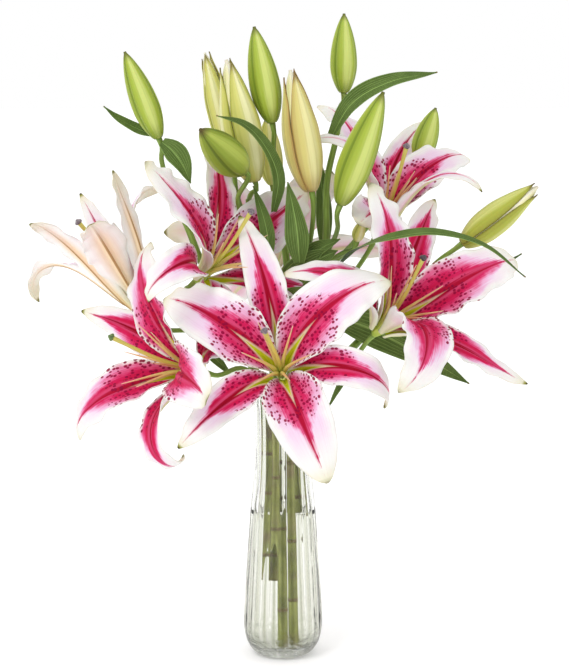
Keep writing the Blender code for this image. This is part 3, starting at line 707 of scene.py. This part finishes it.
def piece(name, bm, finishes, stands_for=None, wall=0.0):
    """The bmesh, in millimetres, as a piece of the object in metres, with its finishes."""
    bmesh.ops.scale(bm, vec=(MM, MM, MM), verts=bm.verts)
    mesh = bpy.data.meshes.new(name)
    bm.to_mesh(mesh)
    bm.free()
    mesh.uv_layers[0].name = "span"
    for finish in finishes:
        mesh.materials.append(finish)
    obj = bpy.data.objects.new(name, mesh)
    bpy.context.scene.collection.objects.link(obj)
    if wall:
        solid = obj.modifiers.new("Wall", "SOLIDIFY")
        solid.thickness = wall * MM
        solid.offset = 0
        solid.material_offset = 1
        solid.material_offset_rim = 1
    if stands_for:
        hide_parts(stands_for)
    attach(obj, "root")


# ---- flowers


def facing_frame(facing, turn):
    """A flower's axis, and the outward direction at a turn clockwise from its top."""
    axis = Vector(facing).normalized()
    side = UP.cross(axis).normalized()
    top = axis.cross(side)
    angle = math.radians(turn)
    return axis, top * math.cos(angle) + side * math.sin(angle)


class Tepal:
    """One petal or sepal: midrib, channel, rolled margins and ruffled edges."""

    STEPS = 48

    def __init__(self, flower, name, turn, length, lean, sway):
        self.kind = name.split("_")[0]
        self.width, self.claw, radius, height, self.blunt = WHORLS[self.kind]
        self.width *= flower.get("breadth", 1)
        self.length, self.lean, self.sway = length, lean, math.radians(sway)
        self.axis, self.out = facing_frame(flower["facing"], turn)
        self.across = self.axis.cross(self.out)
        self.phase = turn * 0.37 + length
        point = Vector(flower["base"]) + self.out * radius + self.axis * height
        self.midrib = [point.copy()]
        for i in range(self.STEPS):
            along, _, _ = self.directions((i + 0.5) / self.STEPS)
            point += along * (length / self.STEPS)
            self.midrib.append(point.copy())

    def directions(self, s):
        """Unit vectors along the midrib, across the blade and out of its upper face."""
        lean = math.radians(cubic(self.lean, s))
        sway = self.sway * s**1.5
        ahead = self.out * math.sin(lean) + self.axis * math.cos(lean)
        upper = self.axis * math.sin(lean) - self.out * math.cos(lean)
        along = ahead * math.cos(sway) + self.across * math.sin(sway)
        across = self.across * math.cos(sway) - ahead * math.sin(sway)
        return along, across, upper

    def half_width(self, s):
        swell = self.claw + (1 - self.claw) * math.sin(min(s / 0.46, 1) * math.pi / 2) ** 1.33
        tip = max(1 - s**3.4, 0) ** self.blunt
        return max(self.width / 2 * swell * tip, 0.7)

    def ruffle(self, s, v):
        """How far the blade waves out of its surface, most at the edges."""
        side = 1 if v > 0 else 1.7
        wave = math.sin(s * 23 * side + self.phase) + 0.5 * math.sin(s * 41 + self.phase * side)
        strength = ease(s, 0.2, 0.5) * (1 - ease(s, 0.9, 1)) * (2.1 if self.kind == "petal" else 1.1)
        return wave * strength * abs(v) ** 3

    def groove(self, s, v):
        """A channel down the midrib with a low ridge each side of it."""
        depth = 2.0 * (1 - ease(s, 0.65, 1)) * ease(s, 0, 0.1)
        return depth * (0.35 * math.exp(-((abs(v) - 0.2) / 0.1) ** 2) - math.exp(-((v / 0.08) ** 2)))

    def point(self, s, v):
        """A point of the blade, s along it and v across from edge (-1) to edge (1)."""
        middle, _ = along_path(self.midrib, s)
        _, across, upper = self.directions(s)
        roll = cubic((1.5, 0.9, -0.2, -0.5), s)
        lift = self.ruffle(s, v) + self.groove(s, v)
        if abs(roll) < NEAR:
            return middle + across * self.half_width(s) * v + upper * lift
        half = self.half_width(s) / roll
        bend = roll * v
        normal = upper * math.cos(bend) - across * math.sin(bend)
        return (middle + across * half * math.sin(bend) + upper * half * (1 - math.cos(bend))
                + normal * lift)


def build_tepal(flower_name, name, shape, stands_for, finishes):
    tepal = Tepal(FLOWERS[flower_name], name, *shape)
    bm = bmesh.new()
    add_sheet(bm, tepal.point, *TEPAL_GRID, tepal.length, tepal.half_width)
    bmesh.ops.reverse_faces(bm, faces=bm.faces)
    piece(f"{flower_name}_{name}_blade", bm, finishes[tepal.kind], stands_for, TEPAL_WALL)


def build_heart(name, flower, finishes, stands_for):
    """Receptacle, six tapered filaments without anthers, and the style with its three-lobed stigma."""
    axis, top = facing_frame(flower["facing"], 0)
    side = axis.cross(top)
    base = Vector(flower["base"])
    out, up, aside = PISTILS[name]
    bm = bmesh.new()
    cup = smooth_path([base - axis * RECEPTACLE_DEPTH, base, base + axis * 7], 1.5)
    add_tube(bm, cup, lambda s: 3 + 1.6 * math.sin(s * math.pi), 24, 0,
             lambda s, turn: 1 + 0.08 * math.cos(6 * turn))
    style = smooth_path([base + axis * 2, base + axis * out * 0.45 + top * up * 0.2,
                         base + axis * out * 0.97 + top * up + side * aside], 4)
    add_tube(bm, style, lambda s: 2.1 - 0.5 * ease(s, 0, 0.5) + 0.4 * ease(s, 0.8, 1), 16, 1)
    end, heading = along_path(style, 1)
    lobes = [end - heading * 1.5, end + heading * 0.5, end + heading * 2, end + heading * 3]
    add_tube(bm, smooth_path(lobes, 0.7), lambda s: 3.1 * math.sin(math.pi * min(0.25 + s * 0.7, 0.93)),
             24, 2, lambda s, turn: 1 + 0.2 * math.cos(3 * turn))
    for i in range(6):
        _, away = facing_frame(flower["facing"], 60 * i + 30)
        spread = (GATHERED_SPREAD if name in FUSED else FILAMENT_SPREAD) + 3 * (i % 2)
        thread = smooth_path([base + axis * 3 + away * 1.2, base + axis * 24 + away * spread * 0.22,
                              base + axis * FILAMENT_LENGTH + away * spread], 3)
        add_tube(bm, thread, lambda s: 2.1 * (1 - s) ** 0.8 * (1 - 0.3 * s) + 0.25, 12, 3)
    bmesh.ops.recalc_face_normals(bm, faces=bm.faces)
    piece(f"{name}_centre", bm, finishes, stands_for)


def build_flowers():
    faces = {kind: petal_face(f"{kind}_face", kind) for kind in WHORLS}
    deep = {kind: petal_face(f"{kind}_face_deep", kind, True) for kind in WHORLS}
    backs = {kind: petal_back(f"{kind}_back", kind, False) for kind in WHORLS}
    warm = {kind: petal_back(f"{kind}_back_warm", kind, True) for kind in WHORLS}
    receptacle = along_finish("receptacle", [(0, (0.3, 0.44, 0.03)), (1, (0.6, 0.66, 0.1))])
    style = along_finish("style", [(0, (0.5, 0.6, 0.07)), (0.5, (0.68, 0.6, 0.13)),
                                   (1, (0.56, 0.52, 0.11))])
    grey = stigma_finish("stigma_grey", (0.07, 0.05, 0.07), (0.2, 0.16, 0.18), (0.42, 0.37, 0.32))
    filament = along_finish("filament", [(0, (0.52, 0.62, 0.07)), (0.3, (0.74, 0.66, 0.18)),
                                         (0.75, (0.74, 0.44, 0.2)), (1, (0.8, 0.56, 0.36))])
    stigmas = {
        "right_lily": stigma_finish("stigma_dark", (0.02, 0.015, 0.02), (0.05, 0.035, 0.045),
                                    (0.14, 0.1, 0.09)),
        "left_lily": stigma_finish("stigma_green", (0.05, 0.09, 0.02), (0.12, 0.2, 0.05),
                                   (0.3, 0.36, 0.14)),
    }
    for name, flower in FLOWERS.items():
        fused = name in FUSED
        face = deep if name in DEEP_FLOWERS else faces
        back = warm if name in WARM_FLOWERS else backs
        finishes = {kind: [face[kind], back[kind]] for kind in WHORLS}
        for tepal_name, *shape in flower["tepals"]:
            build_tepal(name, tepal_name, shape, None if fused else f"{name}_{tepal_name}", finishes)
        heart = [receptacle, style, stigmas.get(name, grey), filament]
        build_heart(name, flower, heart, name if fused else f"{name}_heart")


# ---- buds, stems, leaves


def bud_swell(s):
    """Share of the half width on the way from the base up to the shoulder."""
    return 0.32 + 0.68 * math.sin(min(s / BUD_SHOULDER, 1) * math.pi / 2) ** 0.75


def bud_outline(s):
    """Share of the half width from base to tip."""
    if s < BUD_SHOULDER:
        return bud_swell(s)
    return max(math.cos((s - BUD_SHOULDER) / (1 - BUD_SHOULDER) * math.pi / 2) ** 0.72, 0.1)


def bud_relief(s, turn):
    """Three low ribs with a sharp seam between each two, fading at both ends."""
    ribs = 0.035 * math.cos(3 * turn) - 0.07 * math.exp(-((math.cos(1.5 * turn) / 0.16) ** 2))
    return 1 + ribs * ease(s, 0.04, 0.25) * (1 - 0.3 * ease(s, 0.7, 1))


def build_buds():
    looks = {look: bud_finish(f"bud_{look}", *colours) for look, colours in BUD_COLOURS.items()}
    for name, (tip, base, width) in BUDS.items():
        tip, base = Vector(tip), Vector(base)
        parting = name in PARTING
        half = width / 2 * (0.9 if parting else 1)
        outer = looks[BUD_LOOKS.get(name, "green")]
        bm = bmesh.new()
        path = [base.lerp(tip, s / 48) for s in range(49)]
        add_tube(bm, path, lambda s, half=half: half * bud_outline(s), 60, 0, bud_relief)
        bmesh.ops.recalc_face_normals(bm, faces=bm.faces)
        piece(f"{name}_skin", bm, [looks["inner_petals"] if parting else outer], name)
        if parting:
            build_parting(name, base, tip, width, [outer, outer])


def build_parting(name, base, tip, width, finishes):
    """The three outer lobes of a bud about to open, loose at their tips."""
    axis, top = facing_frame(tip - base, 0)
    side = axis.cross(top)
    length = (tip - base).length
    bm = bmesh.new()
    span = bm.loops.layers.uv.verify()
    for lobe in range(3):
        reach = (1.0, 0.95, 0.985)[lobe]

        def surface(s, v, lobe=lobe, reach=reach):
            turn = math.radians(120 * lobe + 40 + 59 * v * (1 - s**7))
            away = top * math.cos(turn) + side * math.sin(turn)
            loose = bud_swell(s) - 0.66 * ease(s, 0.42, 1.08) ** 1.2
            keel = 0.05 * math.exp(-((v / 0.12) ** 2)) - 0.06 * abs(v) ** 4 * (1 - ease(s, 0.75, 1))
            ragged = 0.5 * math.sin(s * 19 + lobe * 2 + v) * abs(v) ** 3 * ease(s, 0.3, 0.7)
            return base + axis * (s * length * reach) + away * (width / 2 * (loose + keel) + ragged)

        made = add_sheet(bm, surface, 40, 20, length, lambda s: width * 0.5)
        for face in {face for vert in made for face in vert.link_faces}:
            for loop in face.loops:
                s, across = loop[span].uv
                loop[span].uv = (s, (lobe + across - 0.5) / 3)
    piece(f"{name}_sepals", bm, finishes, None, LEAF_WALL)


def landing(target):
    """Where a branch arrives: the last two points of its course."""
    if target in BUDS:
        tip, base, _ = BUDS[target]
        heading = (Vector(tip) - Vector(base)).normalized()
        return [Vector(base) - heading * 8, Vector(base) + heading * 1.5]
    flower = FLOWERS[target]
    axis = Vector(flower["facing"]).normalized()
    base = Vector(flower["base"])
    return [base - axis * 16, base - axis * (RECEPTACLE_DEPTH - 1)]


def build_stems():
    skin = stem_finish("stem_skin", (0.17, 0.27, 0.04), (0.24, 0.15, 0.06), 0.25)
    wet = stem_finish("stem_under_water", (0.38, 0.41, 0.1), (0.34, 0.25, 0.14), 0.75)
    scar = along_finish("stem_joint", [(0, (0.3, 0.28, 0.08)), (0.5, (0.24, 0.17, 0.06)),
                                       (1, (0.34, 0.31, 0.09))], 0.6)
    cut = along_finish("stem_cut_end", [(0, (0.5, 0.46, 0.2)), (1, (0.3, 0.26, 0.1))], 0.6)
    for name, (foot, mouth_turn, above, branches) in STEMS.items():
        turn = math.radians(mouth_turn)
        foot = Vector(foot)
        ring = STEM_MOUTH_RING
        mouth = Vector((ring * math.cos(turn), ring * math.sin(turn), VASE_HEIGHT - 6))
        top = smooth_path([foot.lerp(mouth, STEM_STRAIGHT), mouth, *above], 4)
        straight = [foot.lerp(mouth, STEM_STRAIGHT * i / 60) for i in range(61)]
        up = (straight[1] - straight[0]).normalized()
        joints = [0.2 + 0.31 * i + 0.05 * math.sin(mouth_turn + 3 * i) for i in range(3)]
        bm = bmesh.new()

        def swollen(s, joints=joints):
            return STEM_RADIUS * (1 + JOINT_SWELL * sum(math.exp(-((s - j) / 0.018) ** 2) for j in joints))

        def collar_relief(s, turn, start=mouth_turn):
            return 1 + 0.04 * math.sin(5 * turn + start)

        add_tube(bm, straight, swollen, STEM_SIDES, 1)
        end = [foot - up * 0.05, foot + up * 0.4, foot + up * 1.2]
        add_tube(bm, end, lambda s: STEM_RADIUS + 0.12, STEM_SIDES, 3)
        for joint in joints:
            middle = foot.lerp(mouth, STEM_STRAIGHT * joint)
            collar = [middle + up * (COLLAR_REACH * k) for k in (-1, -0.5, 0, 0.5, 1)]
            add_tube(bm, collar, lambda s: STEM_RADIUS * (1 + JOINT_SWELL + 0.06 * math.sin(s * math.pi)),
                     STEM_SIDES, 2, collar_relief)
        add_tube(bm, top, lambda s: STEM_RADIUS * (1 - 0.35 * ease(s, 0.1, 1)), STEM_SIDES, 0,
                 lambda s, turn: 1 + 0.03 * math.cos(5 * turn))
        for points, target in branches:
            path = smooth_path([*points, *landing(target)], 4)
            add_tube(bm, path, lambda s: PEDICEL_RADIUS * (1 + 0.35 * ease(s, 0.85, 1)), 16, 0)
        bmesh.ops.recalc_face_normals(bm, faces=bm.faces)
        piece(f"{name}_skin", bm, [skin, wet, scar, cut], name)


def build_leaves():
    looks = {
        "dark": leaf_finish("leaf_dark", (0.04, 0.095, 0.008), (0.015, 0.045, 0.004)),
        "fresh": leaf_finish("leaf_fresh", (0.13, 0.22, 0.02), (0.06, 0.12, 0.01)),
        "underside": leaf_finish("leaf_underside", (0.13, 0.2, 0.05), (0.07, 0.12, 0.025)),
    }
    for name, (course, width, facing) in {**LEAVES, **SMALL_LEAVES}.items():
        path = smooth_path(course, 3)
        facing = Vector(facing).normalized()

        def half(s, width=width):
            swell = 0.35 + 0.65 * math.sin(min(s / 0.4, 1) * math.pi / 2)
            return max(width / 2 * swell * (1 - s**2.2), 0.5)

        def surface(s, v, path=path, facing=facing, half=half):
            middle, along = along_path(path, s)
            across = along.cross(facing).normalized()
            upper = across.cross(along)
            fold = 0.28 * half(s) * v * v + 0.5 * abs(v) ** 3 * math.sin(s * 11 + (1 if v > 0 else 2.3))
            return middle + across * half(s) * v + upper * (fold - 0.5 * math.exp(-((v / 0.1) ** 2)))

        bm = bmesh.new()
        add_sheet(bm, surface, *LEAF_GRID, path_length(path), half)
        bmesh.ops.reverse_faces(bm, faces=bm.faces)
        finishes = [looks[LEAF_LOOKS.get(name, "dark")], looks["underside"]]
        piece(f"{name}_blade", bm, finishes, name if name in LEAVES else None, LEAF_WALL)


# ---- vase and water


def outline_at(points, z):
    """Radius of an outline, given from the foot up, at a height, on a smooth curve through its points."""
    for i in range(len(points) - 1):
        (r0, z0), (r1, z1) = points[i], points[i + 1]
        if z0 <= z <= z1:
            rise = z1 - z0
            before = points[i - 1] if i else (r0, z0)
            after = points[i + 2] if i + 2 < len(points) else (r1, z1)
            m0 = (r1 - before[0]) / (z1 - before[1]) * rise
            m1 = (after[0] - r0) / (after[1] - z0) * rise
            return hermite((z - z0) / rise, r0, r1, m0, m1)
    return points[-1][0]


def add_turned(bm, profile, sides, relief=None):
    """A turned skin from (radius, z) points; relief(i, turn) is added to the radius."""
    rows = len(profile) - 1

    def surface(s, v):
        i = round(s * rows)
        radius, z = profile[i]
        turn = (v + 1) * math.pi
        if relief and radius:
            radius += relief(i, turn)
        return Vector((radius * math.cos(turn), radius * math.sin(turn), z))

    add_sheet(bm, surface, rows, sides, VASE_HEIGHT, lambda s: 90)
    bmesh.ops.remove_doubles(bm, verts=bm.verts, dist=NEAR)
    bmesh.ops.recalc_face_normals(bm, faces=bm.faces)


def vase_inside():
    """The inner outline from the floor up, finely stepped."""
    inner = VASE_INSIDE[::-1]
    heights = [FLOOR_THICKNESS + 0.2 + 1.6 * i for i in range(12)]
    heights += [heights[-1] + (VASE_HEIGHT - 1 - heights[-1]) * i / 44 for i in range(1, 45)]
    return [(0, FLOOR_THICKNESS), (9, FLOOR_THICKNESS), (16.4, FLOOR_THICKNESS)] + [
        (outline_at(inner[1:], z), z) for z in heights]


def build_vase():
    """Foot, fluted wall stepped closest round the heel, rolled lip, and the smooth inner wall."""
    low = [(VASE_OUTSIDE[0][0] * i / 4, 0) for i in range(5)]
    heights = [0.5 * i for i in range(1, 12)] + [6 + 2 * i for i in range(13)]
    heights += [32 + (VASE_HEIGHT - 33) * i / 48 for i in range(49)]
    walls = [(outline_at(VASE_OUTSIDE, z), z) for z in heights]
    lip = [(24.9, VASE_HEIGHT - 0.35), (24.2, VASE_HEIGHT), (23.4, VASE_HEIGHT), (22.7, VASE_HEIGHT - 0.35)]
    outside = low + walls
    profile = outside + lip + vase_inside()[::-1]

    def flutes(i, turn):
        if i >= len(outside):
            return 0
        z = profile[i][1]
        share = ease(z, 12, 40) * (1 - ease(z, VASE_HEIGHT - 7, VASE_HEIGHT - 1))
        return -FLUTE_DEPTH * share * (1 - abs(math.cos(FLUTES * turn / 2)))

    bm = bmesh.new()
    add_turned(bm, profile, FLUTES * 10, flutes)
    piece("vase_body", bm, [glass_finish()], "vase")


def build_water():
    """Fills the vase to its level, a hair into the glass so that no gap shows, level on top."""
    into, under = 0.25, 0.15
    wall = [(r + into, z - under) for r, z in vase_inside()[1:] if z < WATER_LEVEL - 2]
    edge = outline_at(VASE_INSIDE[::-1][1:], WATER_LEVEL)
    top = [(r, WATER_LEVEL) for r in (edge + into, edge - 1.5, edge * 0.5, 0)]
    bm = bmesh.new()
    add_turned(bm, [(0, FLOOR_THICKNESS - under)] + wall + top, 96)
    piece("vase_fill", bm, [water_finish()], "water")


# ---- stage


def place(name, data, location=(0, 0, 0)):
    obj = bpy.data.objects.new(name, data)
    obj.location = location
    bpy.context.scene.collection.objects.link(obj)
    return obj


def build_floor():
    bm = bmesh.new()
    bmesh.ops.create_grid(bm, x_segments=1, y_segments=1, size=6)
    mesh = bpy.data.meshes.new("floor")
    bm.to_mesh(mesh)
    bm.free()
    paper = Shader("floor_paper", base_color=(0.95, 0.95, 0.95, 1), roughness=0.9, emission_strength=0.2)
    paper.surface.inputs["Emission Color"].default_value = (1, 1, 1, 1)
    mesh.materials.append(paper.material)
    place("floor", mesh)


def build_light():
    """White all round, and one broad soft lamp from the upper left."""
    world = bpy.data.worlds.new("studio")
    world.use_nodes = True
    background = world.node_tree.nodes["Background"]
    background.inputs["Color"].default_value = (1, 1, 1, 1)
    background.inputs["Strength"].default_value = 1.0
    bpy.context.scene.world = world
    bpy.context.scene.view_settings.view_transform = "Standard"
    lamp = bpy.data.lights.new("key", "AREA")
    lamp.size = 0.9
    lamp.energy = 13
    key = place("key", lamp, (-0.9, -1.3, 1.9))
    middle = Vector((0, 0, 0.3))
    key.rotation_euler = (middle - key.location).to_track_quat("-Z", "Y").to_euler()


def build_camera():
    camera = bpy.data.cameras.new("camera")
    camera.sensor_width = 36
    camera.lens = 126
    across, up = CAMERA_AIM
    back, rise = CAMERA_DISTANCE * math.cos(CAMERA_TILT), CAMERA_DISTANCE * math.sin(CAMERA_TILT)
    view = place("camera", camera, (across, -back, up + rise))
    view.rotation_euler = (math.pi / 2 - CAMERA_TILT, 0, 0)
    bpy.context.scene.camera = view


build_vase()
build_water()
build_stems()
build_leaves()
build_buds()
build_flowers()
build_floor()
build_light()
build_camera()
